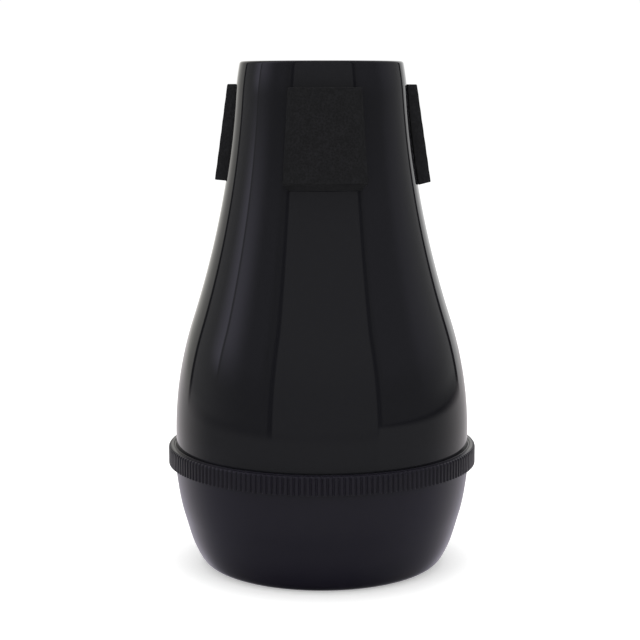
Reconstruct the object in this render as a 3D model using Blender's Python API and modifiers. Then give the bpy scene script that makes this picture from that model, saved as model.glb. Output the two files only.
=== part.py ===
"""Trombone straight mute, built piece by piece at its real size.

Metres, +Z up. The origin is the centre of the flat base, on the axis of every turned piece, and the
middle of the front pad faces -Y. A hollow body, open at its narrow end, is closed at its wide end by
a bowl-shaped cap. A ribbed union ring turns freely in a groove under the cap's rim and screws on to
the body's threaded spigot, so the cap comes off for drying. Three foam pads, each on its own adhesive
film, grip the inside of the instrument's bell.
"""

import math

import bmesh
import bpy

MM = 0.001

# Round pieces
SEGMENTS = 64
CURVE_STEPS = 4
CORNER_STEPS = 4
LIP_STEPS = 4
SMOOTH_ANGLE = math.radians(30.0)

# Clearance between pieces that touch or slide, and points nearer than MERGE are one
FIT = 0.3 * MM
MERGE = 0.005 * MM

# End cap: stations of its outer side over the base; a flare is radius gained per height climbed
CAP_HEIGHT = 36.0 * MM
CAP_RADIUS = 51.8 * MM
CAP_FLARE = 0.14
CAP_WAIST_HEIGHT = 18.0 * MM
CAP_WAIST_RADIUS = 48.6 * MM
CAP_WAIST_FLARE = 0.305
CAP_FOOT_RADIUS = 42.7 * MM
CAP_FOOT_FLARE = 0.65
CAP_CORNER = 5.9 * MM
CAP_WALL = 2.0 * MM
BEAD_HEIGHT = 0.9 * MM
END_CHAMFER = 0.3 * MM
PILOT_HEIGHT = 2.0 * MM
PILOT_WALL = 1.3 * MM

# Body: stations of its outer side over the union ring's top; a taper is radius lost per height climbed
BELLY_RADIUS = 51.2 * MM
BELLY_HEIGHT = 4.3 * MM
TURN_RADIUS = 44.8 * MM
TURN_HEIGHT = 44.3 * MM
TURN_TAPER = 0.325
NECK_RADIUS = 29.45 * MM
NECK_HEIGHT = 121.3 * MM
NECK_TAPER = 0.075
RIM_RADIUS = 28.1 * MM
RIM_HEIGHT = 132.0 * MM
RIM_TAPER = 0.19
BODY_WALL = 2.0 * MM

# Union ring, ribbed for the fingers
RING_HEIGHT = 6.4 * MM
RING_WALL = 2.2 * MM
RING_LIP = 1.0 * MM
RING_LIP_REACH = 0.9 * MM
RING_CHAMFER = 0.3 * MM
RING_RIM = 0.5 * MM
RIB_COUNT = 184
RIB_DEPTH = 0.5 * MM
RIB_RELIEF = 0.2 * MM
RIB_TUCK = 0.2 * MM
RIM_PROUD = 0.1 * MM
# Shares of a rib's pitch that its flat top and its foot take up
RIB_LAND = 0.36
RIB_FOOT = 0.60

# Thread between the union ring and the body's spigot
THREAD_PITCH = 1.5 * MM
THREAD_DEPTH = 0.7 * MM
THREAD_FOOT = 0.8 * MM
THREAD_CREST = 0.35 * MM
THREAD_SHOULDER = 0.5 * MM
THREAD_SINK = 0.3 * MM
THREAD_RELIEF = 0.2 * MM
# Turns over which a ridge runs out, and the share of its height at which it ends inside the wall
THREAD_RUN_OUT = 0.12
THREAD_START = 0.15

# Foam pads and the adhesive film under each, cut and put on by hand: each pad's angle from -Y in degrees,
# its drop below the rim, its length and how far its lower end slopes up towards the outside.
PAD_PLACES = {
    "front": (0.0, 7.9 * MM, 33.5 * MM, 2.3 * MM),
    "right": (113.0, 7.05 * MM, 34.55 * MM, 0.9 * MM),
    "left": (-122.0, 6.85 * MM, 33.45 * MM, 0.3 * MM),
}
PAD_SPAN = 43.3
PAD_TOP_THICKNESS = 3.9 * MM
PAD_LOW_THICKNESS = 4.7 * MM
PAD_EDGE = 0.5 * MM
PAD_STEPS = 8
PAD_ROWS = 5
FILM_THICKNESS = 0.2 * MM
FILM_INSET = 0.5 * MM

# Levels and radii that follow from the sizes above
RING_LOW = CAP_HEIGHT + FIT
RING_TOP = RING_LOW + RING_HEIGHT
BEAD_LOW = RING_LOW + RING_LIP + FIT
CAP_TOP = BEAD_LOW + BEAD_HEIGHT
BODY_LOW = CAP_TOP + FIT
SPIGOT = RING_TOP - BODY_LOW
THREAD_OUTER = BELLY_RADIUS - THREAD_RELIEF
THREAD_CORE = THREAD_OUTER - THREAD_DEPTH
RING_BORE = THREAD_OUTER + FIT
RING_ROOT = RING_BORE + RING_WALL
RING_TIP = RING_ROOT + RIB_DEPTH
LIP_BORE = RING_BORE - RING_LIP_REACH
BEAD_RADIUS = RING_BORE - FIT
GROOVE_RADIUS = LIP_BORE - FIT
SPIGOT_BORE = THREAD_CORE - BODY_WALL
PILOT_RADIUS = SPIGOT_BORE - FIT
PILOT_BORE = PILOT_RADIUS - PILOT_WALL


def clear_scene():
    for item in list(bpy.data.objects):
        bpy.data.objects.remove(item, do_unlink=True)


def new_collection(name):
    collection = bpy.data.collections.new(name)
    bpy.context.scene.collection.children.link(collection)
    return collection


def new_material(name, colour, roughness):
    material = bpy.data.materials.new(name)
    material.use_nodes = True
    shader = material.node_tree.nodes["Principled BSDF"]
    shader.inputs["Base Color"].default_value = (*colour, 1.0)
    shader.inputs["Roughness"].default_value = roughness
    shader.inputs["Metallic"].default_value = 0.0
    material.diffuse_color = (*colour, 1.0)
    return material


def new_piece(name, bm, collection, material=None):
    """An object that takes over the edited mesh, shaded smooth up to its corners."""
    mesh = bpy.data.meshes.new(name)
    bm.to_mesh(mesh)
    bm.free()
    mesh.shade_smooth()
    mesh.set_sharp_from_angle(angle=SMOOTH_ANGLE)
    if material is not None:
        mesh.materials.append(material)
    piece = bpy.data.objects.new(name, mesh)
    collection.objects.link(piece)
    return piece


def new_empty(name, collection, parent, height):
    """An empty on the axis, at a height over its parent, which carries the pieces of one body."""
    empty = bpy.data.objects.new(name, None)
    empty.empty_display_size = 10.0 * MM
    collection.objects.link(empty)
    empty.parent = parent
    empty.location.z = height
    return empty


def add_to(piece, guide, name):
    """Joins a guide solid, which moves with the piece, on to the piece."""
    guide.parent = piece
    guide.hide_render = True
    guide.display_type = "WIRE"
    union = piece.modifiers.new(name, "BOOLEAN")
    union.operation = "UNION"
    union.solver = "EXACT"
    union.object = guide


# Profiles, as lists of (radius, height)

def smooth_curve(stations, steps):
    """The cubic curve through stations of (height, radius, slope), where slope is radius per height."""
    points = [(stations[0][1], stations[0][0])]
    for (h0, r0, s0), (h1, r1, s1) in zip(stations[:-1], stations[1:]):
        rise = h1 - h0
        for step in range(1, steps + 1):
            t = step / steps
            radius = (r0 * (2 * t**3 - 3 * t**2 + 1) + rise * s0 * (t**3 - 2 * t**2 + t)
                      + r1 * (3 * t**2 - 2 * t**3) + rise * s1 * (t**3 - t**2))
            points.append((radius, h0 + rise * t))
    return points


def arc(radius, height, size, start, end, steps):
    """The inner points of an arc about (radius, height), without its two ends."""
    angles = [start + (end - start) * step / steps for step in range(1, steps)]
    return [(radius + size * math.cos(angle), height + size * math.sin(angle)) for angle in angles]


def inner_side(points, wall):
    """A profile that runs down its outer side, moved in by the wall, square to its own line."""
    moved = []
    for index, (radius, height) in enumerate(points):
        r0, h0 = points[max(index - 1, 0)]
        r1, h1 = points[min(index + 1, len(points) - 1)]
        length = math.hypot(r1 - r0, h1 - h0)
        moved.append((radius + wall * (h1 - h0) / length, height - wall * (r1 - r0) / length))
    return moved


def radius_at(points, height):
    """The radius, at a height, of a profile that runs down."""
    for (r0, h0), (r1, h1) in zip(points[:-1], points[1:]):
        if h1 <= height <= h0:
            return r0 + (r1 - r0) * (h0 - height) / (h0 - h1)
    return points[0][0] if height > points[0][1] else points[-1][0]


# Solids

def turned(name, profile, collection, material, closed=True):
    """A profile, running down its outer side, turned about Z; an open one starts and ends on the axis."""
    bm = bmesh.new()
    verts = [bm.verts.new((radius, 0.0, height)) for radius, height in profile]
    for first, second in zip(verts[:-1], verts[1:]):
        bm.edges.new((first, second))
    if closed:
        bm.edges.new((verts[-1], verts[0]))
    piece = new_piece(name, bm, collection, material)
    screw = piece.modifiers.new("turn", "SCREW")
    screw.axis = "Z"
    screw.steps = SEGMENTS
    screw.render_steps = SEGMENTS
    screw.use_merge_vertices = True
    screw.merge_threshold = MERGE
    screw.use_smooth_shade = True
    return piece


def on_round(radius, angle, height):
    """The point at a radius and an angle about Z."""
    return (radius * math.cos(angle), radius * math.sin(angle), height)


def lofted(name, sections, collection, material=None):
    """A solid skinned over a run of matching closed sections, the first and the last of which end it."""
    bm = bmesh.new()
    rings = [[bm.verts.new(point) for point in section] for section in sections]
    for before, after in zip(rings[:-1], rings[1:]):
        for index in range(len(before)):
            following = (index + 1) % len(before)
            bm.faces.new((before[index], before[following], after[following], after[index]))
    bm.faces.new(rings[0])
    bm.faces.new(rings[-1][::-1])
    bmesh.ops.recalc_face_normals(bm, faces=bm.faces)
    return new_piece(name, bm, collection, material)


def swept_block(name, profile, span, collection, material):
    """A closed profile carried through an angle about Z, centred on -Y."""
    angles = [-math.pi / 2 + span * (step / PAD_STEPS - 0.5) for step in range(PAD_STEPS + 1)]
    sections = [[on_round(radius, angle, height) for radius, height in profile] for angle in angles]
    return lofted(name, sections, collection, material)


def thread_ridge(name, wall, crest, low, high, start, collection):
    """A right-hand helical ridge of trapezium section on a round wall, running out at both ends.

    Its middle line climbs from low to high, beginning at the angle start.
    """
    turns = (high - low) / THREAD_PITCH
    steps = round(turns * SEGMENTS)
    root = wall - math.copysign(THREAD_SINK, crest - wall)
    sections = []
    for step in range(steps + 1):
        share = step / steps
        ramp = min(1.0, turns * share / THREAD_RUN_OUT, turns * (1.0 - share) / THREAD_RUN_OUT)
        top = root + (crest - root) * max(ramp, THREAD_START)
        middle = low + (high - low) * share
        angle = start + 2.0 * math.pi * turns * share
        corners = ((root, -THREAD_FOOT), (top, -THREAD_CREST), (top, THREAD_CREST), (root, THREAD_FOOT))
        sections.append([on_round(radius, angle, middle + width / 2) for radius, width in corners])
    return lofted(name, sections, collection)


def thread_ends():
    """The heights over the body's lower end between which each ridge's middle line climbs."""
    margin = THREAD_FOOT / 2 + FIT
    return margin, SPIGOT - THREAD_SHOULDER - margin


# Body

def body_outer_side():
    """The body's outer side from the rim down to the belly, over the body's lower end."""
    stations = [
        (SPIGOT + RIM_HEIGHT, RIM_RADIUS, -RIM_TAPER),
        (SPIGOT + NECK_HEIGHT, NECK_RADIUS, -NECK_TAPER),
        (SPIGOT + TURN_HEIGHT, TURN_RADIUS, -TURN_TAPER),
        (SPIGOT + BELLY_HEIGHT, BELLY_RADIUS, 0.0),
    ]
    return smooth_curve(stations, CURVE_STEPS)


def make_body(parts, cutters):
    """The hollow body: a full round lip, a flared side and a threaded spigot at the wide end."""
    outer = body_outer_side()
    inner = inner_side(outer, BODY_WALL)
    lip_radius = (outer[0][0] + inner[0][0]) / 2
    lip_height = (outer[0][1] + inner[0][1]) / 2
    lean = math.atan2(outer[0][1] - lip_height, outer[0][0] - lip_radius)
    lip = arc(lip_radius, lip_height, BODY_WALL / 2, lean + math.pi, lean, LIP_STEPS)
    spigot = [
        (BELLY_RADIUS, SPIGOT),
        (THREAD_CORE, SPIGOT - THREAD_SHOULDER),
        (THREAD_CORE, END_CHAMFER),
        (THREAD_CORE - END_CHAMFER, 0.0),
        (SPIGOT_BORE, 0.0),
        (SPIGOT_BORE, SPIGOT + FIT),
    ]
    gloss = new_material("gloss_black_abs", (0.013, 0.013, 0.014), 0.12)
    body = turned("mute_body", outer + spigot + inner[::-1] + lip, parts, gloss)
    low, high = thread_ends()
    ridge = thread_ridge("spigot_thread_ridge", THREAD_CORE, THREAD_OUTER, low, high, 0.0, cutters)
    add_to(body, ridge, "thread")
    return body


# Cap

def make_cap(parts):
    """The bowl-shaped cap: flat base, groove for the ring's lip, bead over it and a pilot on top."""
    tilt = math.atan(CAP_FOOT_FLARE)
    stations = [
        (CAP_HEIGHT, CAP_RADIUS, CAP_FLARE),
        (CAP_WAIST_HEIGHT, CAP_WAIST_RADIUS, CAP_WAIST_FLARE),
        (CAP_CORNER * (1.0 - math.sin(tilt)), CAP_FOOT_RADIUS, CAP_FOOT_FLARE),
    ]
    flat = CAP_FOOT_RADIUS - CAP_CORNER * math.cos(tilt)
    outer = smooth_curve(stations, CURVE_STEPS // 2)
    outer += arc(flat, CAP_CORNER, CAP_CORNER, -tilt, -math.pi / 2, CORNER_STEPS) + [(flat, 0.0)]
    wall_top = CAP_HEIGHT - 2.0 * CAP_WALL
    inner = [point for point in inner_side(outer, CAP_WALL)[:-1] if point[1] < wall_top]
    floor = [(0.0, CAP_WALL), (flat, CAP_WALL)]
    collar = [
        (PILOT_BORE, CAP_HEIGHT),
        (PILOT_BORE, CAP_TOP + PILOT_HEIGHT),
        (PILOT_RADIUS, CAP_TOP + PILOT_HEIGHT),
        (PILOT_RADIUS, CAP_TOP),
        (BEAD_RADIUS - END_CHAMFER, CAP_TOP),
        (BEAD_RADIUS, CAP_TOP - END_CHAMFER),
        (BEAD_RADIUS, BEAD_LOW),
        (GROOVE_RADIUS, BEAD_LOW),
        (GROOVE_RADIUS, CAP_HEIGHT),
    ]
    satin = new_material("satin_black_abs", (0.015, 0.014, 0.019), 0.38)
    return turned("end_cap", floor + inner[::-1] + collar + outer + [(0.0, 0.0)], parts, satin, closed=False)


# Union ring

def make_ribs(cutters):
    """The ring's ribs: an outline of flat-topped ribs about a round hole, stood up to their height."""
    pitch = 2.0 * math.pi / RIB_COUNT
    section = ((-RIB_FOOT, RING_ROOT), (-RIB_LAND, RING_TIP), (RIB_LAND, RING_TIP), (RIB_FOOT, RING_ROOT))
    outline = [(radius, pitch * (rib + share / 2)) for rib in range(RIB_COUNT) for share, radius in section]
    hole = [(RING_ROOT - RING_WALL / 2, 2.0 * math.pi * step / SEGMENTS) for step in range(SEGMENTS)]
    height = RING_HEIGHT - RING_RIM + RIB_TUCK - RIB_RELIEF
    curve = bpy.data.curves.new("ring_ribs", "CURVE")
    curve.dimensions = "2D"
    curve.fill_mode = "BOTH"
    curve.extrude = height / 2
    for loop in (outline, hole):
        spline = curve.splines.new("POLY")
        spline.points.add(len(loop) - 1)
        spline.use_cyclic_u = True
        for point, (radius, angle) in zip(spline.points, loop):
            point.co = (radius * math.cos(angle), radius * math.sin(angle), 0.0, 1.0)
    drawn = bpy.data.objects.new("ring_ribs_outline", curve)
    cutters.objects.link(drawn)
    evaluated = drawn.evaluated_get(bpy.context.evaluated_depsgraph_get())
    bm = bmesh.new()
    bm.from_mesh(bpy.data.meshes.new_from_object(evaluated))
    bpy.data.objects.remove(drawn, do_unlink=True)
    bmesh.ops.remove_doubles(bm, verts=bm.verts, dist=MERGE)
    bmesh.ops.translate(bm, verts=bm.verts, vec=(0.0, 0.0, RIB_RELIEF + height / 2))
    return new_piece("ring_ribs", bm, cutters)


def make_ring(parts, cutters):
    """The union ring: lip under the cap's bead, threaded bore, ribs outside and a chamfered rim."""
    core = RING_ROOT - RING_WALL / 4
    rim = RING_TIP + RIM_PROUD
    profile = [
        (RING_BORE + RING_CHAMFER, RING_HEIGHT),
        (rim - RING_CHAMFER, RING_HEIGHT),
        (rim, RING_HEIGHT - RING_CHAMFER),
        (rim, RING_HEIGHT - RING_RIM),
        (core, RING_HEIGHT - RING_RIM),
        (core, 0.0),
        (LIP_BORE, 0.0),
        (LIP_BORE, RING_LIP),
        (RING_BORE, RING_LIP),
        (RING_BORE, RING_HEIGHT - RING_CHAMFER),
    ]
    nylon = new_material("moulded_black_nylon", (0.012, 0.012, 0.014), 0.42)
    ring = turned("lock_ring", profile, parts, nylon)
    add_to(ring, make_ribs(cutters), "ribs")
    low, high = thread_ends()
    lift = BODY_LOW - RING_LOW
    # Half a turn on from the spigot's ridge, so that each lies midway between the other's turns
    ridge = thread_ridge("ring_thread_ridge", RING_BORE, THREAD_CORE + FIT,
                         low + lift, high + lift, math.pi, cutters)
    add_to(ring, ridge, "thread")
    return ring


# Pads

def pad_heights(drop, length, inset):
    """Levels down a pad, over the body's lower end, with its ends drawn in by the inset."""
    top = SPIGOT + RIM_HEIGHT - drop - inset
    return [top - (length - 2.0 * inset) * row / PAD_ROWS for row in range(PAD_ROWS + 1)]


def make_pads(parts, carrier):
    """The foam pads, straight on the outside and fitted to the neck inside, each over its film."""
    side = body_outer_side()
    foam = new_material("black_eva_foam", (0.013, 0.013, 0.0135), 0.95)
    glue = new_material("black_adhesive_film", (0.01, 0.01, 0.01), 0.5)
    span = math.radians(PAD_SPAN)
    film_span = span - 2.0 * FILM_INSET / NECK_RADIUS
    under = FIT + FILM_THICKNESS + FIT
    for name, (angle, drop, length, slant) in PAD_PLACES.items():
        film_levels = pad_heights(drop, length, FILM_INSET)
        film_inner = [(radius_at(side, height) + FIT, height) for height in film_levels]
        film_outer = [(radius + FILM_THICKNESS, height) for radius, height in film_inner]
        levels = pad_heights(drop, length, 0.0)
        pad_inner = [(radius_at(side, height) + under, height) for height in levels]
        pad_outer = [
            (radius_at(side, levels[0]) + PAD_TOP_THICKNESS, levels[0]),
            (radius_at(side, levels[-1]) + PAD_LOW_THICKNESS, levels[-1] + slant),
        ]
        film = swept_block("pad_film_" + name, film_outer + film_inner[::-1], film_span, parts, glue)
        pad = swept_block("foam_pad_" + name, pad_outer + pad_inner[::-1], span, parts, foam)
        bevel = pad.modifiers.new("edges", "BEVEL")
        bevel.width = PAD_EDGE
        bevel.segments = 2
        bevel.limit_method = "ANGLE"
        bevel.angle_limit = math.radians(50.0)
        for piece in (film, pad):
            piece.parent = carrier
            piece.rotation_euler.z = math.radians(angle)


def main():
    clear_scene()
    parts = new_collection("trombone_straight_mute")
    cutters = new_collection("cutters")
    shell = new_empty("shell_frame", parts, None, BODY_LOW)
    cap_axis = new_empty("cap_travel_axis", parts, shell, -BODY_LOW)
    ring_axis = new_empty("ring_turn_axis", parts, cap_axis, RING_LOW)
    make_body(parts, cutters).parent = shell
    make_pads(parts, shell)
    make_cap(parts).parent = cap_axis
    make_ring(parts, cutters).parent = ring_axis


if __name__ == "__main__":
    main()
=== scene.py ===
"""Looks of a trombone straight mute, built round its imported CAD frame.

The mute stands on its end cap with the front pad towards -Y. Its pieces are a polished body, a satin cap,
a ribbed union ring and three foam pads on adhesive films. Sizes in the classes are millimetres, and a mesh
is turned to metres where it is made. Angles are degrees in the classes and radians in the formulas.
"""

import logging
from dataclasses import dataclass
from enum import Enum

import bpy
import numpy as np
from mathutils import Euler, Matrix


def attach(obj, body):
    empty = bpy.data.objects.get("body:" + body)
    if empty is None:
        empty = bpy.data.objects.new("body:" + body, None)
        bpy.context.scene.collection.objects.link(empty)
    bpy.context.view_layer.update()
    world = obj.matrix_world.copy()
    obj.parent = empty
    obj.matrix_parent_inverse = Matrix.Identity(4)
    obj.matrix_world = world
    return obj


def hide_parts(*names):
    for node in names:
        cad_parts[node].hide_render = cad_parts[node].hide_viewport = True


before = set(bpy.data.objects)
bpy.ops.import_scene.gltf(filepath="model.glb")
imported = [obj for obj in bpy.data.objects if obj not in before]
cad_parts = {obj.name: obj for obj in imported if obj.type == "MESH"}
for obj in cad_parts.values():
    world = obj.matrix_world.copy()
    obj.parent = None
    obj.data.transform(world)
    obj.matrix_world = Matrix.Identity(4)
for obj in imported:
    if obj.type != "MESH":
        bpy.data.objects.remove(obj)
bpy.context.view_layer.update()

MM = 0.001
# Faces that meet at more than this angle keep a sharp edge between them.
SHARP_ANGLE = np.radians(38.0)
# A rounding has this many spans, and starts at most this share of the shorter run from its corner.
EASE_STEPS = 4
EASE_SHARE = 0.45
# Nearly all values of a noise texture lie between these two.
NOISE_SPAN = (0.3, 0.7)
log = logging.getLogger("straight_mute")


def linear(hex_colour: str) -> tuple[float, float, float, float]:
    """Turns an sRGB hex colour to linear RGBA: a power of 2.4 above the straight foot of the curve.

    Args:
        hex_colour: the colour as #RRGGBB.

    Returns:
        Linear red, green, blue and an alpha of 1.
    """
    srgb = np.array([int(hex_colour[start:start + 2], 16) for start in (1, 3, 5)]) / 255.0
    rgb = np.where(srgb <= 0.04045, srgb / 12.92, ((srgb + 0.055) / 1.055) ** 2.4)
    return (*rgb.tolist(), 1.0)


def add_node(tree: bpy.types.NodeTree, kind: str, settings: dict | None = None,
             inputs: dict | None = None) -> bpy.types.Node:
    """Adds a node with its settings and what feeds its inputs.

    Args:
        tree: the node tree that the node joins.
        kind: Blender's name for the node's type.
        settings: property names and their values.
        inputs: input names or numbers, each with a value or the output socket that feeds it.

    Returns:
        The new node.
    """
    node = tree.nodes.new(kind)
    for name, value in (settings or {}).items():
        setattr(node, name, value)
    for key, value in (inputs or {}).items():
        if isinstance(value, bpy.types.NodeSocket):
            tree.links.new(value, node.inputs[key])
        else:
            node.inputs[key].default_value = value
    return node


# Profiles and surfaces

def outline(stations: tuple[tuple[float, float, float], ...], steps: int) -> np.ndarray:
    """The cubic Hermite curve through stations, each span blended by the four Hermite weights.

    Args:
        stations: (height, radius, radius gained per height climbed), from the top down.
        steps: points a span.

    Returns:
        Rows of (radius, height), from the top down.
    """
    height, radius, slope = np.array(stations).T[:, :, None]
    rise = np.diff(height, axis=0)
    t = np.linspace(0.0, 1.0, steps, endpoint=False)
    curve = (radius[:-1] * (2 * t**3 - 3 * t**2 + 1) + rise * slope[:-1] * (t**3 - 2 * t**2 + t)
             + radius[1:] * (3 * t**2 - 2 * t**3) + rise * slope[1:] * (t**3 - t**2))
    points = np.stack([curve.ravel(), (height[:-1] + rise * t).ravel()], axis=1)
    return np.vstack([points, (radius[-1, 0], height[-1, 0])])


def inset(profile: np.ndarray, wall: float) -> np.ndarray:
    """Moves a profile that runs down its outer side in, square to its own line.

    Each point goes by the wall's thickness along the right-hand normal of the line through its neighbours.

    Args:
        profile: rows of (radius, height).
        wall: the wall's thickness.

    Returns:
        The inner profile, row for row.
    """
    along = np.gradient(profile, axis=0)
    along /= np.linalg.norm(along, axis=1, keepdims=True)
    return profile + wall * np.stack([along[:, 1], -along[:, 0]], axis=1)


def arc(centre: tuple[float, float], size: float, start: float, end: float, steps: int) -> np.ndarray:
    """The inner points of a circular arc, as centre plus size times (cos, sin) of evenly spaced angles."""
    angles = np.linspace(start, end, steps + 1)[1:-1]
    return np.array(centre) + size * np.stack([np.cos(angles), np.sin(angles)], axis=1)


def eased(corners: list[tuple[float, float]], size: float) -> np.ndarray:
    """Rounds the corners of a line of straight runs, apart from its two ends.

    Each corner becomes the quadratic Bezier curve that starts and ends at the size from it, or at EASE_SHARE
    of the shorter run beside it where that is less.

    Args:
        corners: (radius, height) of each corner.
        size: how far from its corner each rounding starts.

    Returns:
        Rows of (radius, height).
    """
    points = np.array(corners)
    corner, before, after = points[1:-1], points[:-2] - points[1:-1], points[2:] - points[1:-1]
    long_before, long_after = (np.linalg.norm(run, axis=1, keepdims=True) for run in (before, after))
    reach = np.minimum(size, EASE_SHARE * np.minimum(long_before, long_after))
    first, last = corner + before / long_before * reach, corner + after / long_after * reach
    t = np.linspace(0.0, 1.0, EASE_STEPS + 1)[None, :, None]
    curve = (1 - t)**2 * first[:, None] + 2 * t * (1 - t) * corner[:, None] + t**2 * last[:, None]
    return np.vstack([points[0], curve.reshape(-1, 2), points[-1]])


def turned(radii: np.ndarray, heights: np.ndarray, columns: int) -> np.ndarray:
    """Turns a profile about Z: x and y are the radius times cos and sin of the column's angle.

    Args:
        radii: a radius for each row, or for each row and column.
        heights: a height for each row.
        columns: how many columns go round.

    Returns:
        Points of the shape rows, columns, 3.
    """
    angles = np.arange(columns) * 2.0 * np.pi / columns
    radii = np.broadcast_to(radii.reshape(len(heights), -1), (len(heights), columns))
    tall = np.broadcast_to(heights[:, None], radii.shape)
    return np.stack([radii * np.cos(angles), radii * np.sin(angles), tall], axis=2)


def ring_faces(rows: int, columns: int, first: int = 0, closed: bool = False) -> np.ndarray:
    """The four-sided faces of a grid whose columns go right round.

    Args:
        rows: the grid's rows.
        columns: its columns.
        first: the number of its first point.
        closed: whether the last row joins the first.

    Returns:
        Faces as rows of four point numbers, row after row of the grid.
    """
    numbers = first + np.arange(rows * columns).reshape(rows, columns)
    upper, lower = (numbers, np.roll(numbers, -1, axis=0)) if closed else (numbers[:-1], numbers[1:])
    faces = np.stack([upper, lower, np.roll(lower, -1, axis=1), np.roll(upper, -1, axis=1)], axis=2)
    return faces.reshape(-1, 4)


@dataclass(frozen=True)
class UnionThread:
    """The single right-hand ridge of trapezium section that the body and the ring both carry.

    The foot and the crest are its widths, and the run-out is the share of a turn over which each end fades.
    The core and the outer radius are those of the body's ridge, and the ring's stands clear of the core.
    """

    pitch: float = 1.5
    foot: float = 0.8
    crest: float = 0.35
    low: float = 39.5
    high: float = 41.5
    run_out: float = 0.12
    core: float = 50.3
    outer: float = 51.0
    clearance: float = 0.3

    def share(self, heights: np.ndarray, columns: int, start: float) -> np.ndarray:
        """How much of the ridge's height stands at each row and column.

        The middle line climbs by the pitch each turn from low to high. Across it the share falls from 1 to 0
        between the crest's and the foot's half widths, and along it the share falls to 0 at both ends.

        Args:
            heights: the rows' heights.
            columns: how many columns go round.
            start: the angle at which the middle line starts.

        Returns:
            Shares from 0 to 1, of the shape rows, columns.
        """
        turn = np.mod(np.arange(columns) / columns - start / (2.0 * np.pi), 1.0)
        turn = turn[None, :, None] + np.arange(2)
        total = (self.high - self.low) / self.pitch
        away = np.abs(heights[:, None, None] - self.low - self.pitch * turn)
        across = np.clip((self.foot / 2 - away) / (self.foot / 2 - self.crest / 2), 0.0, 1.0)
        along = np.clip(np.minimum(turn, total - turn) / self.run_out, 0.0, 1.0)
        return (across * along).max(axis=2)


# Finishes

@dataclass(frozen=True)
class MouldedPlastic:
    """An injection-moulded plastic, black right through.

    The tool's surface sets the gloss: the eye sees crisp reflections off a polished tool and a soft glow
    off a fine-blasted one. Flow and shrinkage leave faint, wide ripples in both. Streaks, ripples and grain
    have their width in millimetres, and the last two their height.
    """

    name: str
    colour: str
    streak: str
    roughness: float
    spread: float
    ripple: float
    ripple_height: float
    grain: float
    grain_height: float
    ior: float = 1.5
    sheen: float = 0.0
    sheen_tint: str = "#FFFFFF"
    sheen_roughness: float = 0.3
    streak_width: float = 14.0
    streak_squash: float = 0.2

    def material(self) -> bpy.types.Material:
        """Colour and roughness drift along soft upright streaks; ripples and tool grain are bump.

        Returns:
            The material.
        """
        material = bpy.data.materials.new(self.name)
        material.use_nodes = True
        tree = material.node_tree
        shader = tree.nodes["Principled BSDF"]
        place = add_node(tree, "ShaderNodeTexCoord").outputs["Object"]
        drawn = add_node(tree, "ShaderNodeMapping",
                         inputs={"Vector": place, "Scale": (1.0, 1.0, self.streak_squash)})
        streaks = add_node(tree, "ShaderNodeTexNoise",
                           inputs={"Vector": drawn.outputs[0], "Scale": 1.0 / (self.streak_width * MM),
                                   "Detail": 3.0})
        tone = add_node(tree, "ShaderNodeMix", {"data_type": "RGBA"},
                        {0: streaks.outputs[0], 6: linear(self.colour), 7: linear(self.streak)})
        gloss = add_node(tree, "ShaderNodeMapRange",
                         inputs={0: streaks.outputs[0], 1: NOISE_SPAN[0], 2: NOISE_SPAN[1],
                                 3: self.roughness - self.spread, 4: self.roughness + self.spread})
        ripples = add_node(tree, "ShaderNodeTexNoise",
                           inputs={"Vector": place, "Scale": 1.0 / (self.ripple * MM), "Detail": 0.0})
        grains = add_node(tree, "ShaderNodeTexNoise",
                          inputs={"Vector": place, "Scale": 1.0 / (self.grain * MM), "Detail": 2.0})
        wave = add_node(tree, "ShaderNodeBump",
                        inputs={"Height": ripples.outputs[0], "Distance": self.ripple_height * MM})
        bump = add_node(tree, "ShaderNodeBump",
                        inputs={"Height": grains.outputs[0], "Distance": self.grain_height * MM,
                                "Normal": wave.outputs[0]})
        for socket, output in (("Base Color", tone.outputs[2]), ("Roughness", gloss.outputs[0]),
                               ("Normal", bump.outputs[0])):
            tree.links.new(output, shader.inputs[socket])
        shader.inputs["IOR"].default_value = self.ior
        shader.inputs["Sheen Weight"].default_value = self.sheen
        shader.inputs["Sheen Roughness"].default_value = self.sheen_roughness
        shader.inputs["Sheen Tint"].default_value = linear(self.sheen_tint)
        return material


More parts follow.
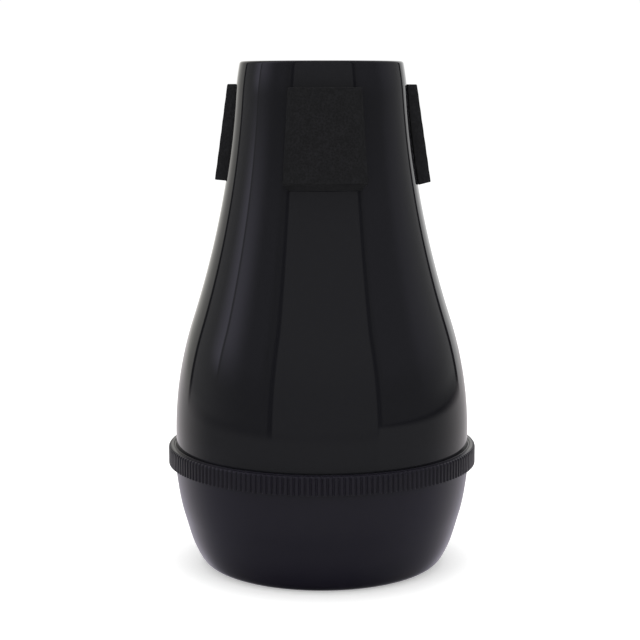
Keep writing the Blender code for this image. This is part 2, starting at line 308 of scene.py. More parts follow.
@dataclass(frozen=True)
class ClosedCellFoam:
    """Die-cut closed-cell EVA foam: a dry, light-eating skin of tiny opened cells with no gloss.

    The cells' pattern, times a mottle, gives the pit shade's colour up to its pit level and the skin's from
    its skin level on: the darker pit bottoms are painted shade, the mottle a random tone.
    """

    name: str = "black_eva_foam"
    colour: str = "#1B1B1D"
    pit_shade: str = "#111112"
    cell: float = 0.65
    cell_depth: float = 0.09
    mottle: float = 3.0
    pit_level: float = 0.05
    skin_level: float = 0.45
    relief: float = 0.8
    roughness: float = 0.95
    specular: float = 0.25

    def material(self) -> bpy.types.Material:
        """Cells as Voronoi pits with painted shade at their bottoms, over a soft mottle from handling and
        dust.

        Returns:
            The material.
        """
        material = bpy.data.materials.new(self.name)
        material.use_nodes = True
        tree = material.node_tree
        shader = tree.nodes["Principled BSDF"]
        place = add_node(tree, "ShaderNodeTexCoord").outputs["Object"]
        cells = add_node(tree, "ShaderNodeTexVoronoi",
                         inputs={"Vector": place, "Scale": 1.0 / (self.cell * MM), "Randomness": 1.0})
        mottle = add_node(tree, "ShaderNodeTexNoise",
                          inputs={"Vector": place, "Scale": 1.0 / (self.mottle * MM), "Detail": 6.0,
                                  "Roughness": 0.7})
        both = add_node(tree, "ShaderNodeMath", {"operation": "MULTIPLY"},
                        {0: cells.outputs["Distance"], 1: mottle.outputs[0]})
        # Painted shade: low values darken the cell pits, and the mottle darkens patches at random.
        depth = add_node(tree, "ShaderNodeMapRange",
                         inputs={0: both.outputs[0], 1: self.pit_level, 2: self.skin_level})
        tone = add_node(tree, "ShaderNodeMix", {"data_type": "RGBA"},
                        {0: depth.outputs[0], 6: linear(self.pit_shade), 7: linear(self.colour)})
        bump = add_node(tree, "ShaderNodeBump",
                        inputs={"Height": both.outputs[0], "Distance": self.cell_depth * MM,
                                "Strength": self.relief})
        tree.links.new(tone.outputs[2], shader.inputs["Base Color"])
        tree.links.new(bump.outputs[0], shader.inputs["Normal"])
        shader.inputs["Roughness"].default_value = self.roughness
        shader.inputs["Specular IOR Level"].default_value = self.specular
        return material


@dataclass(frozen=True)
class AdhesiveFilm:
    """Black acrylic transfer adhesive: a thin, slightly tacky film whose edge has a dull sheen."""

    name: str = "black_adhesive_film"
    colour: str = "#151516"
    dusty: str = "#1E1E1F"
    roughness: float = 0.5
    smear: float = 2.0

    def material(self) -> bpy.types.Material:
        """Dust that has stuck to the film, as a soft mottle in its colour.

        Returns:
            The material.
        """
        material = bpy.data.materials.new(self.name)
        material.use_nodes = True
        tree = material.node_tree
        shader = tree.nodes["Principled BSDF"]
        place = add_node(tree, "ShaderNodeTexCoord").outputs["Object"]
        dust = add_node(tree, "ShaderNodeTexNoise",
                        inputs={"Vector": place, "Scale": 1.0 / (self.smear * MM), "Detail": 4.0})
        tone = add_node(tree, "ShaderNodeMix", {"data_type": "RGBA"},
                        {0: dust.outputs[0], 6: linear(self.colour), 7: linear(self.dusty)})
        tree.links.new(tone.outputs[2], shader.inputs["Base Color"])
        shader.inputs["Roughness"].default_value = self.roughness
        return material


GLOSS_ABS = MouldedPlastic("gloss_black_abs", "#141417", "#151518", 0.045, 0.01, 11.0, 0.003, 1.5, 0.00005)
CORE_ABS = MouldedPlastic("core_side_black_abs", "#141416", "#18181A", 0.32, 0.04, 9.0, 0.01, 0.3, 0.006)
SATIN_ABS = MouldedPlastic("satin_black_abs", "#17151F", "#191721", 0.31, 0.02, 10.0, 0.006, 0.25, 0.003,
                           sheen=0.05, sheen_tint="#D8D0FF")
RING_NYLON = MouldedPlastic("moulded_black_nylon", "#15131B", "#191720", 0.30, 0.03, 7.0, 0.006, 0.25, 0.005)
PAD_FOAM = ClosedCellFoam()
# A lighter copy of the foam for the pads' cut sides and ends: painted light that brightens the side pads'
# faces.
PAD_FOAM_PAINTED_LIGHT = ClosedCellFoam("black_eva_foam_painted_light", "#222224", "#171719")
PAD_FILM = AdhesiveFilm()


def make_piece(name: str, points: np.ndarray, patches: list[tuple[np.ndarray, int]],
               materials: list[bpy.types.Material], body: str,
               stands_for: str) -> bpy.types.Object:
    """Makes a finished piece, smooth up to its sharp edges, and ties it to the frame.

    Args:
        name: the piece's name.
        points: its points in millimetres, as rows of three.
        patches: faces as rows of point numbers, each block with the number of its material.
        materials: the materials that it wears.
        body: the CAD body that it rides on.
        stands_for: the CAD node that it replaces.

    Returns:
        The piece.
    """
    mesh = bpy.data.meshes.new(name)
    mesh.from_pydata((points.reshape(-1, 3) * MM).tolist(), [],
                     [face for faces, _ in patches for face in faces.tolist()])
    mesh.polygons.foreach_set("material_index",
                              np.concatenate([np.full(len(faces), number) for faces, number in patches]))
    mesh.shade_smooth()
    mesh.set_sharp_from_angle(angle=SHARP_ANGLE)
    for material in materials:
        mesh.materials.append(material)
    mesh.update()
    piece = bpy.data.objects.new(name, mesh)
    bpy.context.scene.collection.objects.link(piece)
    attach(piece, body)
    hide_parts(stands_for)
    size = np.ptp(points.reshape(-1, 3), axis=0)
    log.info("%s: %d faces, %.1f x %.1f x %.1f mm, on %s", name, len(mesh.polygons), *size, body)
    return piece


@dataclass(frozen=True)
class BodyMoulding:
    """The hollow body: a full round lip, a flared side and a threaded spigot at the wide end.

    The seat is the shoulder over the spigot. The gap keeps the blocks of rows apart where one takes over
    from the next on a straight run.
    """

    stations: tuple[tuple[float, float, float], ...] = (
        (174.7, 28.12, -0.19), (164.0, 29.52, -0.075), (87.0, 44.93, -0.325), (47.0, 51.33, 0.0))
    wall: float = 2.0
    low: float = 38.8
    seat: float = 42.72
    belly_run: float = 1.0
    end_chamfer: float = 0.3
    bore: float = 48.3
    bore_top: float = 43.0
    edge: float = 0.05
    end_edge: float = 0.1
    bore_edge: float = 0.3
    gap: float = 0.05
    inner_steps: int = 20
    lip_steps: int = 16
    spigot_rows: int = 58
    columns: int = 360
    thread: UnionThread = UnionThread()

    def outer(self, steps: int = 26) -> np.ndarray:
        """The outer side from the lip down to the belly, as rows of (radius, height)."""
        return outline(self.stations, steps)

    def build(self) -> bpy.types.Object:
        """Turns the whole closed profile, with the ridge raised on the spigot's own rows.

        Returns:
            The body.
        """
        outer = self.outer()
        inner = inset(self.outer(self.inner_steps), self.wall)[::-1]
        middle = (outer[0] + inner[-1]) / 2
        lean = np.arctan2(*(outer[0] - middle)[::-1])
        lip = arc(tuple(middle), self.wall / 2, lean + np.pi, lean, self.lip_steps)
        belly, core = self.stations[-1][1], self.thread.core
        above = eased([(belly, self.seat + self.belly_run), (belly, self.seat), (core, self.seat),
                       (core, self.seat - 2 * self.gap)], self.edge)
        end = self.low + self.end_chamfer
        heights = np.linspace(self.seat - 3 * self.gap, end + 2 * self.gap, self.spigot_rows)
        spigot = np.stack([np.full_like(heights, core), heights], axis=1)
        bore_start = self.bore_top - self.bore_edge
        below = eased([(core, end + self.gap), (core, end), (core - self.end_chamfer, self.low),
                       (self.bore, self.low), (self.bore, bore_start - 2 * self.gap)], self.end_edge)
        blend = eased([(self.bore, bore_start), (self.bore, self.bore_top), tuple(inner[0])], self.bore_edge)
        blocks = [outer, above, spigot, below, blend[:-1], inner, lip]
        starts = np.cumsum([0] + [len(block) for block in blocks])
        profile = np.vstack(blocks)
        radii = np.repeat(profile[:, :1], self.columns, axis=1)
        ridge = self.thread.share(heights, self.columns, 0.0)
        radii[starts[2]:starts[3]] += (self.thread.outer - core) * ridge
        points = turned(radii, profile[:, 1], self.columns)
        faces = ring_faces(len(profile), self.columns, closed=True)
        core_rows = slice(starts[4] * self.columns, (starts[6] - 1) * self.columns)
        outside = np.delete(faces, np.r_[core_rows], axis=0)
        return make_piece("body_moulding", points, [(outside, 0), (faces[core_rows], 1)],
                          [GLOSS_ABS.material(), CORE_ABS.material()], "shell",
                          "mute_body")


@dataclass(frozen=True)
class CapMoulding:
    """The bowl-shaped cap: flat base, groove for the ring's lip, bead over the groove and a pilot on top.

    The corner is the radius of the bend into the base, where the side flares by the foot's flare. The rim
    stops short of the side by the rim gap, and the rounding between them takes that up.
    """

    stations: tuple[tuple[float, float, float], ...] = ((36.0, 51.8, 0.14), (18.0, 48.6, 0.305))
    foot_radius: float = 42.7
    foot_flare: float = 0.65
    corner: float = 5.9
    wall: float = 2.0
    groove: float = 50.1
    bead_low: float = 37.6
    bead: float = 51.0
    top: float = 38.5
    chamfer: float = 0.3
    pilot: float = 48.0
    pilot_top: float = 40.5
    pilot_bore: float = 46.7
    edge: float = 0.15
    rim_gap: float = 0.01
    side_steps: int = 22
    bend_steps: int = 14
    columns: int = 360

    def build(self) -> bpy.types.Object:
        """Turns the profile from the inner floor's middle round to the base's middle.

        Returns:
            The cap.
        """
        rim_height, rim_radius, _ = self.stations[0]
        tilt = np.arctan(self.foot_flare)
        flat = self.foot_radius - self.corner * np.cos(tilt)
        foot = (self.corner * (1.0 - np.sin(tilt)), self.foot_radius, self.foot_flare)
        side = outline((*self.stations, foot), self.side_steps)
        bend = arc((flat, self.corner), self.corner, -tilt, -np.pi / 2, self.bend_steps)
        outer = np.vstack([side, bend, (flat, 0.0)])
        inner = inset(outer, self.wall)[-2::-1]
        inner = inner[inner[:, 1] < rim_height - 2.0 * self.wall]
        collar = eased([tuple(inner[-1]), (self.pilot_bore, rim_height), (self.pilot_bore, self.pilot_top),
                        (self.pilot, self.pilot_top), (self.pilot, self.top),
                        (self.bead - self.chamfer, self.top), (self.bead, self.top - self.chamfer),
                        (self.bead, self.bead_low), (self.groove, self.bead_low), (self.groove, rim_height),
                        (rim_radius - self.rim_gap, rim_height), tuple(outer[1])], self.edge)
        floor = np.array([(flat / 3, self.wall), (flat * 2 / 3, self.wall), (flat, self.wall)])
        base = np.array([(flat * 2 / 3, 0.0), (flat / 3, 0.0)])
        blocks = [floor, inner[:-1], collar, outer[2:], base]
        inside_rows = len(floor) + len(inner) + EASE_STEPS
        profile = np.vstack(blocks)
        rows = len(profile)
        grid = turned(profile[:, 0], profile[:, 1], self.columns).reshape(-1, 3)
        points = np.vstack([grid, (0.0, 0.0, self.wall), (0.0, 0.0, 0.0)])
        faces = ring_faces(rows, self.columns)
        split = inside_rows * self.columns
        here = np.arange(self.columns)
        beside = np.roll(here, -1)
        last = (rows - 1) * self.columns
        middle = np.full(self.columns, len(grid))
        inner_middle = np.stack([middle, here, beside], axis=1)
        base_middle = np.stack([last + here, middle + 1, last + beside], axis=1)
        return make_piece("cap_moulding", points,
                          [(faces[:split], 1), (inner_middle, 1), (faces[split:], 0), (base_middle, 0)],
                          [SATIN_ABS.material(), CORE_ABS.material()], "cap", "end_cap")


@dataclass(frozen=True)
class UnionRing:
    """The ribbed ring: ribs that run out over its round top edge, a threaded bore and a lip that turns in.

    The top edge falls by the fall over the reach, and the ribs start on it with the rib start's share of
    their depth. The underside's joining faces lie between the two distances of join in from the ribs' roots.
    """

    low: float = 36.3
    top: float = 42.68
    tip: float = 54.0
    root: float = 53.5
    fall: float = 1.0
    reach: float = 0.6
    low_edge: float = 0.06
    bead: float = 0.34
    bead_drop: float = 0.26
    groove_width: float = 0.08
    groove_slope: float = 0.14
    bore: float = 51.3
    lip_bore: float = 50.4
    lip_top: float = 37.3
    lip_edge: float = 0.12
    join: tuple[float, float] = (1.2, 1.75)
    under_run: float = 0.3
    rib_count: int = 184
    rib_land: float = 0.38
    rib_foot: float = 0.84
    rib_start: float = 0.6
    rib_columns: int = 12
    bore_columns: int = 368
    thread_run: float = 0.6
    gap: float = 0.05
    thread_rows: int = 62
    edge_rows: int = 9
    bead_rows: int = 15
    thread: UnionThread = UnionThread()

    def ribs(self) -> np.ndarray:
        """The height of the ribs over their roots, column by column: a trapezium wave, its corners eased.

        Across a rib the share of its depth is 1 over the land and falls to 0 at the foot, and
        3 s^2 - 2 s^3 takes the edge off both corners. Land and foot are shares of the spacing.

        Returns:
            A height for each column.
        """
        place = (np.arange(self.rib_count * self.rib_columns) % self.rib_columns) / self.rib_columns - 0.5
        flank = (self.rib_foot - self.rib_land) / 2
        share = np.clip((self.rib_foot / 2 - np.abs(place)) / flank, 0.0, 1.0)
        return (self.tip - self.root) * share**2 * (3.0 - 2.0 * share)

    def outside(self) -> np.ndarray:
        """The points from the groove beside the bead over the ribs to the underside.

        The top edge is a quarter ellipse, in by reach * (1 - sin q) and down by fall * (1 - cos q), over
        which the ribs go from their start's share to all of their depth with sin q. The lower edge is a
        quarter circle.

        Returns:
            Points of the shape rows, columns, 3.
        """
        columns = self.rib_count * self.rib_columns
        foot = self.bore + 2 * self.bead + self.groove_width
        face = np.array([(foot, self.top - self.bead_drop), (foot + self.groove_slope, self.top)])
        below = np.array([(self.root - self.low_edge - self.under_run, self.low),
                          (self.root - self.join[0], self.low)])
        q = np.linspace(0.0, np.pi / 2, self.edge_rows)
        back = q[::-1]
        heights = np.concatenate([self.top - self.fall * (1 - np.cos(q)),
                                  self.low + self.low_edge * (1 - np.cos(back))])
        drawn = np.concatenate([self.reach * (1 - np.sin(q)), self.low_edge * (1 - np.sin(back))])
        share = np.concatenate([self.rib_start + (1 - self.rib_start) * np.sin(q), np.ones_like(back)])
        radii = self.root - drawn[:, None] + share[:, None] * self.ribs()
        return np.vstack([turned(face[:, 0], face[:, 1], columns), turned(radii, heights, columns),
                          turned(below[:, 0], below[:, 1], columns)])

    def inside(self) -> np.ndarray:
        """The points from the underside up the lip and the threaded bore and over the top's round bead.

        The bead is a half circle, bead * (cos q, sin q), about a point bead_drop under the top.

        Returns:
            Points of the shape rows, columns, 3.
        """
        start = self.lip_top + self.thread_run
        up = eased([(self.root - self.join[1], self.low), (self.lip_bore, self.low),
                    (self.lip_bore, self.lip_top), (self.bore, self.lip_top), (self.bore, start)],
                   self.lip_edge)
        heights = np.linspace(start + self.gap, self.top - self.thread_run, self.thread_rows)
        crest = self.bore - self.thread.core - self.thread.clearance
        threaded = self.bore - crest * self.thread.share(heights, self.bore_columns, np.pi)
        q = np.linspace(np.pi, 0.0, self.bead_rows)
        out = np.column_stack([self.bore + self.bead * (1 + np.cos(q)),
                               self.top - self.bead_drop + self.bead * np.sin(q)])
        return np.vstack([turned(up[:, 0], up[:, 1], self.bore_columns),
                          turned(threaded, heights, self.bore_columns),
                          turned(out[:, 0], out[:, 1], self.bore_columns)])

    def build(self) -> bpy.types.Object:
        """Joins the outside and the bore by flat faces, each from one bore column to its rib columns.

        Returns:
            The ring.
        """
        outside, inside = self.outside(), self.inside()
        many = outside.shape[1]
        ratio = many // self.bore_columns
        start = outside.shape[0] * many
        fine = (np.arange(self.bore_columns)[:, None] * ratio + np.arange(ratio + 1)) % many
        here = np.arange(self.bore_columns)
        beside = np.roll(here, -1)
        last_inside = start + (inside.shape[0] - 1) * self.bore_columns
        under = np.column_stack([start + here, start + beside, (start - many + fine)[:, ::-1]])
        over = np.column_stack([last_inside + beside, last_inside + here, fine])
        faces = [ring_faces(outside.shape[0], many), ring_faces(inside.shape[0], self.bore_columns, start)]
        points = np.vstack([outside.reshape(-1, 3), inside.reshape(-1, 3)])
        return make_piece("union_ring", points, [(block, 0) for block in (*faces, under, over)],
                          [RING_NYLON.material()], "ring", "lock_ring")


class PadPlace(Enum):
    """Where each pad was put on by hand.

    The numbers are its angle from -Y, the heights of its ends, and how far the lower end rises outwards.
    """

    FRONT = (0.0, 166.8, 133.3, 2.3)
    RIGHT = (113.0, 167.65, 133.1, 0.9)
    LEFT = (-122.0, 167.85, 134.4, 0.3)


@dataclass(frozen=True)
class NeckPad:
    """A foam pad on its adhesive film, straight outside and fitted to the neck inside.

    The span is its angle about the axis. Each wave has its radians for each radian round the neck and for
    each millimetre of height, and a grid has its points across and its rows.
    """

    place: PadPlace
    span: float = 43.3
    top_thickness: float = 3.9
    low_thickness: float = 4.7
    edge: float = 0.35
    edge_steps: int = 4
    dent: float = 0.06
    first_wave: tuple[float, float] = (31.0, 0.47)
    second_wave: tuple[float, float] = (-17.0, 0.61)
    second_start: float = 0.9
    grid: tuple[int, int] = (56, 84)
    film_clear: float = 0.04
    film_thickness: float = 0.2
    film_inset: float = 0.5
    film_edge: float = 0.04
    film_grid: tuple[int, int] = (24, 24)

    def block(self, ends: tuple[float, float], inner: np.ndarray, outer: np.ndarray, half: float,
              edge: float, grid: tuple[int, int], slant: float = 0.0,
              dent: float = 0.0) -> tuple[np.ndarray, list[np.ndarray]]:
        """A block about the neck with rounded edges, as a loop round it on rows from top to bottom.

        The loop runs across the outer side and back across the inner one. Its corners are quarter circles,
        edge * (cos q, sin q), and the rows near both ends draw the whole loop in by edge * (1 - sin q). The
        slant lifts the lower end towards the outside, and product waves dent the outer side.

        Args:
            ends: the heights of the upper and the lower end.
            inner: the inner radius, as rows of (height, radius) from the bottom up.
            outer: the outer radius, in the same way.
            half: half the block's angle, in radians.
            edge: the rounding's size.
            grid: points across each side, and rows between the rounded ends.
            slant: how much higher the lower end is outside than inside.
            dent: the waves' height.

        Returns:
            The points, and the faces in blocks.
        """
        top, low = ends
        across, rows = grid
        quarter = np.linspace(0.0, np.pi / 2, self.edge_steps, endpoint=False)
        rise, run = edge * (1 - np.cos(quarter)), edge * (1 - np.sin(quarter))
        drawn = np.concatenate([run, np.zeros(rows), run[::-1]])[:, None]
        straight = np.linspace(top - edge, low + edge, rows)
        heights = np.concatenate([top - rise, straight, low + rise[::-1]])[:, None]
        near, far = np.interp(heights, *inner.T) + drawn, np.interp(heights, *outer.T) - drawn
        share = np.concatenate([np.full_like(quarter, -1.0), np.linspace(-1.0, 1.0, across),
                                np.full_like(quarter, 1.0)])
        beyond = edge * np.concatenate([-np.cos(quarter), np.zeros(across), np.cos(quarter[::-1])])
        dip = np.concatenate([run, np.zeros(across), run[::-1]])
        wide = half * (near + far) / 2 - drawn
        angles = (share * (wide - edge) + beyond) / ((near + far) / 2)
        waves = (np.sin(self.first_wave[0] * angles + self.first_wave[1] * heights)
                 * np.sin(self.second_start + self.second_wave[0] * angles + self.second_wave[1] * heights))
        radii = np.concatenate([far - dip + dent * (waves - 1.0), (near + dip)[:, ::-1]], axis=1)
        angles = np.radians(self.place.value[0]) + np.concatenate([angles, angles[:, ::-1]], axis=1)
        lift = slant * (top - heights) / (top - low) * (radii - near) / (far - near)
        points = np.stack([radii * np.sin(angles), -radii * np.cos(angles), heights + lift], axis=2)
        columns = points.shape[1]
        first = np.arange(columns // 2 - 1)
        top_end = np.stack([first, first + 1, columns - 2 - first, columns - 1 - first], axis=1)
        low_end = (len(heights) - 1) * columns + top_end[:, ::-1]
        return points, [ring_faces(len(heights), columns), top_end, low_end]

    def build(self, neck: np.ndarray) -> list[bpy.types.Object]:
        """Args:
            neck: the body's outer side as rows of (radius, height), from the top down.

        Returns:
            The foam pad and its film.
        """
        _, top, low, slant = self.place.value
        wall, lift = neck[::-1, ::-1], np.array([0.0, 1.0])
        half = np.radians(self.span) / 2
        side = self.place.name.lower()
        film_under, foam_under = self.film_clear, 2 * self.film_clear + self.film_thickness
        film_points, film_faces = self.block(
            (top - self.film_inset, low + self.film_inset), wall + lift * film_under,
            wall + lift * (film_under + self.film_thickness), half - self.film_inset / wall[-1, 1],
            self.film_edge, self.film_grid)
        film = make_piece("pad_glue_" + side, film_points, [(faces, 0) for faces in film_faces],
                          [PAD_FILM.material()], "shell", "pad_film_" + side)
        outer = np.array([(low, np.interp(low, *wall.T) + self.low_thickness),
                          (top, np.interp(top, *wall.T) + self.top_thickness)])
        foam_points, foam_faces = self.block((top, low), wall + lift * foam_under, outer, half, self.edge,
                                             self.grid, slant, self.dent)
        around, top_end, low_end = foam_faces
        columns = foam_points.shape[1]
        cut = np.isin(np.arange(len(around)) % columns, (columns // 2 - 1, columns - 1))
        # The cut sides and both ends wear the lighter foam copy, which is painted light.
        patches = [(around[~cut], 0), (around[cut], 1), (top_end, 1), (low_end, 1)]
        foam = make_piece("neck_pad_" + side, foam_points, patches,
                          [PAD_FOAM.material(), PAD_FOAM_PAINTED_LIGHT.material()], "shell",
                          "foam_pad_" + side)
        return [foam, film]


# Studio

class Side(Enum):
    """The side of the camera's line that a panel stands on."""

    LEFT = "left"
    RIGHT = "right"
    BOTH = "both"


@dataclass(frozen=True)
class Edge:
    """An edge of a panel: the angle at which it stands, and the angle that it fades over to each side."""

    angle: float
    fade: float = 0.8


@dataclass(frozen=True)
class StudioPanel:
    """A bright surface of the studio, as gloss on the object shows it.

    Its start and end are degrees away from the camera's side of the object, on the panel's own side. Its low
    and high edges are degrees over the horizon, and both fall by the tilt for each degree of azimuth.
    """

    name: str
    side: Side
    level: float
    start: Edge
    end: Edge | None = None
    low: Edge | None = None
    high: Edge | None = None
    tint: str = "#FFFFFF"
    tilt: float = 0.0


# Tints of the lamps, the papers behind and the table.
COOL = "#E6E1FF"
WARM = "#FFFDF7"
PINK = "#FFF8FA"
VIOLET = "#D9D2FF"
# Where the two sides' backdrops and tables fade into one, behind the object.
MEETING = Edge(174.0, 5.0)
STUDIO_PANELS = (
    StudioPanel("front paper", Side.LEFT, 0.165, Edge(-43.4, 0.7), Edge(38.2, 0.7), Edge(-6.0, 2.0)),
    StudioPanel("front paper, upper", Side.LEFT, 0.03, Edge(-43.4, 0.7), Edge(38.2, 0.7), Edge(13.0, 8.0)),
    StudioPanel("side papers, upper", Side.BOTH, 0.05, Edge(50.0, 3.0), Edge(98.0, 12.0), Edge(9.5, 4.5),
                tint=COOL),
    StudioPanel("left paper", Side.LEFT, 0.085, Edge(42.2), Edge(126.9, 1.1), Edge(-5.5, 2.0)),
    StudioPanel("left paper, far", Side.LEFT, 0.15, Edge(88.0, 30.0), Edge(126.9, 1.1), Edge(-5.5, 2.0)),
    StudioPanel("left lamp's spill", Side.LEFT, 0.45, Edge(77.0, 12.0), Edge(91.8), Edge(9.5, 7.5),
                tint=COOL),
    StudioPanel("left lamp", Side.LEFT, 0.78, Edge(94.0, 0.6), Edge(100.0, 12.0), Edge(6.8, 3.4), tint=COOL),
    StudioPanel("left backdrop", Side.LEFT, 0.46, Edge(131.2, 1.0), MEETING, Edge(-5.5, 2.3), tint=WARM),
    StudioPanel("left backdrop, middle", Side.LEFT, 0.24, Edge(146.0, 9.0), MEETING, Edge(-5.5, 2.3),
                tint=WARM),
    StudioPanel("left backdrop, far", Side.LEFT, 0.40, Edge(162.0, 8.0), MEETING, Edge(-4.5, 2.5),
                Edge(9.0, 5.0), tint=WARM),
    StudioPanel("right paper", Side.RIGHT, 0.095, Edge(47.2), Edge(136.9, 1.1), Edge(-1.9, 0.5), tilt=0.02),
    StudioPanel("right paper, far", Side.RIGHT, 0.23, Edge(112.0, 32.0), Edge(136.9, 1.1), Edge(3.4, 2.0),
                tilt=0.05),
    StudioPanel("right lamp", Side.RIGHT, 0.10, Edge(88.0, 8.0), Edge(116.0, 12.0), Edge(5.0, 6.0),
                tint=COOL),
    StudioPanel("right backdrop", Side.RIGHT, 0.68, Edge(142.4, 1.0), MEETING, Edge(-6.0, 2.0)),
    StudioPanel("right backdrop, far", Side.RIGHT, 0.27, Edge(151.0, 7.0), MEETING, Edge(-4.5, 2.5)),
    StudioPanel("backdrop behind", Side.BOTH, 0.96, MEETING, None, Edge(-5.5, 2.3), tint=WARM),
    StudioPanel("table, left", Side.LEFT, 0.18, Edge(-44.0), None, Edge(-50.0, 22.0), Edge(-6.3, 1.8)),
    StudioPanel("table, right", Side.RIGHT, 0.20, Edge(44.0), None, Edge(-50.0, 22.0), Edge(-2.1, 0.8),
                tilt=0.032),
    StudioPanel("table, far left", Side.LEFT, 0.62, Edge(126.0, 36.0), MEETING, Edge(-31.0, 8.0),
                Edge(-4.6, 2.4), tint=PINK),
    StudioPanel("table, far right", Side.RIGHT, 0.54, Edge(122.0, 38.0), MEETING, Edge(-30.0, 8.0),
                Edge(-5.4, 1.8), tint=PINK),
    StudioPanel("table behind", Side.BOTH, 0.60, MEETING, None, Edge(-30.5, 8.0), Edge(-5.4, 1.8), tint=PINK),
    StudioPanel("table, sides", Side.BOTH, 0.09, Edge(75.0, 25.0), None, Edge(-40.0, 7.0), Edge(-14.0, 4.0),
                tint=VIOLET),
    StudioPanel("table, far rim", Side.BOTH, 0.28, Edge(144.0, 10.0), None, Edge(-32.0, 7.0),
                Edge(-15.0, 4.0), tint=VIOLET),
)


@dataclass(frozen=True)
class AreaLamp:
    """A square soft lamp: where it hangs, the point it faces and its side in metres, and its watts."""

    name: str
    place: tuple[float, float, float]
    aim: tuple[float, float, float]
    size: float
    watts: float


AREA_LAMPS = (
    AreaLamp("lamp_over", (0.0, 0.1, 1.5), (0.0, 0.0, 0.0), 1.4, 14.0),
    AreaLamp("lamp_left", (-1.1, -1.2, 0.7), (0.0, 0.0, 0.08), 0.9, 5.0),
    AreaLamp("lamp_right", (1.1, -1.2, 0.7), (0.0, 0.0, 0.08), 0.9, 5.0),
)


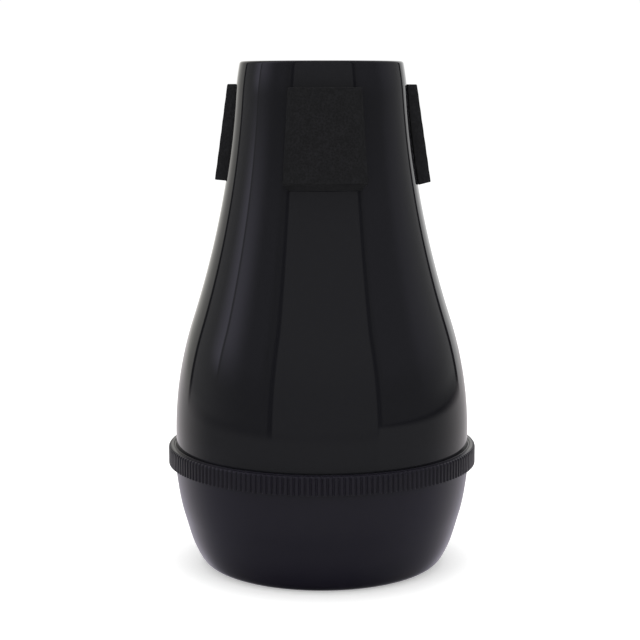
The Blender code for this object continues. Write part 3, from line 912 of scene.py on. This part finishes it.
@dataclass(frozen=True)
class Studio:
    """A white photographer's table in a dim room, with white paper behind and soft light on all sides.

    The camera's distance and height and the lens are in millimetres, its angles in degrees, and its clip
    distances and half the table's side in metres. The paper, the room and the fill are strengths of light:
    the paper's is a hair over full white, so that denoising leaves it white, and the room's is all that
    gloss shows between the panels.
    """

    distance: float = 566.9
    height: float = 168.95
    pitch: float = 8.331
    turn: float = -2.0
    aim_left: float = 0.061
    roll: float = -0.07
    lens: float = 91.94
    sensor: float = 36.0
    clip: tuple[float, float] = (0.01, 100.0)
    paper: float = 1.02
    room: float = 0.012
    fill: float = 0.78
    table_half: float = 40.0
    table_colour: str = "#F2F2F2"
    table_glow: float = 0.34
    panels: tuple[StudioPanel, ...] = STUDIO_PANELS
    area_lamps: tuple[AreaLamp, ...] = AREA_LAMPS

    def camera(self) -> None:
        """Sets a long lens level with the body's neck, looking slightly down."""
        camera = bpy.data.objects.new("camera", bpy.data.cameras.new("camera"))
        bpy.context.scene.collection.objects.link(camera)
        turn = np.radians(self.turn)
        away = self.distance * MM
        camera.location = (away * np.sin(turn), -away * np.cos(turn), self.height * MM)
        level = Euler((np.radians(90.0 - self.pitch), 0.0, turn + np.radians(self.aim_left)))
        rolled = level.to_matrix() @ Matrix.Rotation(np.radians(self.roll), 3, "Z")
        camera.rotation_euler = rolled.to_euler()
        camera.data.lens = self.lens
        camera.data.sensor_width = self.sensor
        camera.data.clip_start, camera.data.clip_end = self.clip
        bpy.context.scene.camera = camera

    def panel_share(self, tree: bpy.types.NodeTree, panel: StudioPanel, azimuth: bpy.types.NodeSocket,
                    elevation: bpy.types.NodeSocket) -> bpy.types.NodeSocket:
        """How much of a panel's light comes from a direction: the product of a soft step at each edge.

        Args:
            tree: the world's node tree.
            panel: the panel.
            azimuth: degrees from the camera's side, on the panel's own side.
            elevation: degrees over the horizon.

        Returns:
            The socket that gives the share.
        """
        height = add_node(tree, "ShaderNodeMath", {"operation": "MULTIPLY_ADD", "label": panel.name},
                          {0: azimuth, 1: panel.tilt, 2: elevation}).outputs[0]
        steps = ((azimuth, panel.start, 1), (azimuth, panel.end, -1),
                 (height, panel.low, 1), (height, panel.high, -1))
        share = 1.0
        for angle, edge, way in steps:
            if edge:
                step = add_node(tree, "ShaderNodeMapRange", {"interpolation_type": "SMOOTHSTEP"},
                                {0: angle, 1: edge.angle - way * edge.fade, 2: edge.angle + way * edge.fade,
                                 3: 0.0, 4: 1.0})
                share = add_node(tree, "ShaderNodeMath", {"operation": "MULTIPLY"},
                                 {0: share, 1: step.outputs[0]}).outputs[0]
        return share

    def world(self) -> None:
        """Gives the camera white paper, gloss the studio's panels, and all else an even fill."""
        world = bpy.data.worlds.new("studio")
        bpy.context.scene.world = world
        world.use_nodes = True
        world.cycles.sampling_method = "NONE"
        tree = world.node_tree
        tree.nodes.clear()
        way = add_node(tree, "ShaderNodeSeparateXYZ",
                       inputs={0: add_node(tree, "ShaderNodeTexCoord").outputs["Generated"]}).outputs
        back = add_node(tree, "ShaderNodeMath", {"operation": "MULTIPLY"}, {0: way[1], 1: -1.0})
        round_angle = add_node(tree, "ShaderNodeMath", {"operation": "ARCTAN2"},
                               {0: way[0], 1: back.outputs[0]})
        degrees = add_node(tree, "ShaderNodeMath", {"operation": "DEGREES"}, {0: round_angle.outputs[0]})
        right = add_node(tree, "ShaderNodeMath", {"operation": "SUBTRACT"},
                         {0: degrees.outputs[0], 1: self.turn}).outputs[0]
        left = add_node(tree, "ShaderNodeMath", {"operation": "MULTIPLY"}, {0: right, 1: -1.0}).outputs[0]
        both = add_node(tree, "ShaderNodeMath", {"operation": "ABSOLUTE"}, {0: right}).outputs[0]
        azimuths = {Side.RIGHT: right, Side.LEFT: left, Side.BOTH: both}
        rise = add_node(tree, "ShaderNodeMath", {"operation": "ARCSINE"}, {0: way[2]})
        elevation = add_node(tree, "ShaderNodeMath", {"operation": "DEGREES"},
                             {0: rise.outputs[0]}).outputs[0]
        total = (self.room,) * 3
        for panel in self.panels:
            share = self.panel_share(tree, panel, azimuths[panel.side], elevation)
            light = tuple(panel.level * part for part in linear(panel.tint)[:3])
            total = add_node(tree, "ShaderNodeVectorMath", {"operation": "MULTIPLY_ADD"},
                             {0: light, 1: share, 2: total}).outputs[0]
        white = linear("#FFFFFF")
        seen = add_node(tree, "ShaderNodeBackground", inputs={"Color": white, "Strength": self.paper})
        panels = add_node(tree, "ShaderNodeBackground", inputs={"Color": total, "Strength": 1.0})
        fill = add_node(tree, "ShaderNodeBackground", inputs={"Color": white, "Strength": self.fill})
        ray = add_node(tree, "ShaderNodeLightPath").outputs
        shiny = add_node(tree, "ShaderNodeMath", {"operation": "ADD", "use_clamp": True},
                         {0: ray["Is Glossy Ray"], 1: ray["Is Transmission Ray"]})
        unseen = add_node(tree, "ShaderNodeMixShader",
                          inputs={0: shiny.outputs[0], 1: fill.outputs[0], 2: panels.outputs[0]})
        mixed = add_node(tree, "ShaderNodeMixShader",
                         inputs={0: ray["Is Camera Ray"], 1: unseen.outputs[0], 2: seen.outputs[0]})
        add_node(tree, "ShaderNodeOutputWorld", inputs={"Surface": mixed.outputs[0]})

    def floor(self) -> None:
        """Lays a pale table top that stays white to the camera and keeps the object's shadow."""
        corners = np.array([(-1.0, -1.0, 0.0), (1.0, -1.0, 0.0), (1.0, 1.0, 0.0), (-1.0, 1.0, 0.0)])
        mesh = bpy.data.meshes.new("table_top")
        mesh.from_pydata((corners * self.table_half).tolist(), [], [(0, 1, 2, 3)])
        floor = bpy.data.objects.new("table_top", mesh)
        bpy.context.scene.collection.objects.link(floor)
        floor.visible_glossy = False
        material = bpy.data.materials.new("white_paper")
        material.use_nodes = True
        tree = material.node_tree
        tree.nodes.clear()
        ray = add_node(tree, "ShaderNodeLightPath").outputs
        paper = add_node(tree, "ShaderNodeBsdfDiffuse", inputs={"Color": linear(self.table_colour)})
        strength = add_node(tree, "ShaderNodeMath", {"operation": "MULTIPLY"},
                            {0: ray["Is Camera Ray"], 1: self.table_glow})
        glow = add_node(tree, "ShaderNodeEmission", inputs={"Strength": strength.outputs[0]})
        both = add_node(tree, "ShaderNodeAddShader", inputs={0: paper.outputs[0], 1: glow.outputs[0]})
        add_node(tree, "ShaderNodeOutputMaterial", inputs={"Surface": both.outputs[0]})
        mesh.materials.append(material)

    def lamps(self) -> None:
        """Hangs a broad lamp overhead and one on each side, which model the shapes without a hot spot."""
        for area in self.area_lamps:
            lamp = bpy.data.lights.new(area.name, "AREA")
            lamp.shape, lamp.size, lamp.energy = "SQUARE", area.size, area.watts
            lamp_object = bpy.data.objects.new(area.name, lamp)
            bpy.context.scene.collection.objects.link(lamp_object)
            lamp_object.location = area.place
            way = np.array(area.aim) - np.array(area.place)
            flat = np.hypot(way[0], way[1])
            lamp_object.rotation_euler = (np.arctan2(flat, -way[2]), 0.0, np.arctan2(-way[0], way[1]))
            lamp_object.visible_glossy = False

    def build(self) -> None:
        """Sets the plain view transform and makes the camera, the world, the table and the lamps."""
        bpy.context.scene.view_settings.view_transform = "Standard"
        self.camera()
        self.world()
        self.floor()
        self.lamps()


def main() -> None:
    """Builds the studio and the mute's pieces in order."""
    logging.basicConfig(level=logging.INFO, format="%(name)s: %(message)s")
    Studio().build()
    body = BodyMoulding()
    body.build()
    CapMoulding().build()
    UnionRing().build()
    for place in PadPlace:
        NeckPad(place).build(body.outer())


if __name__ == "__main__":
    main()
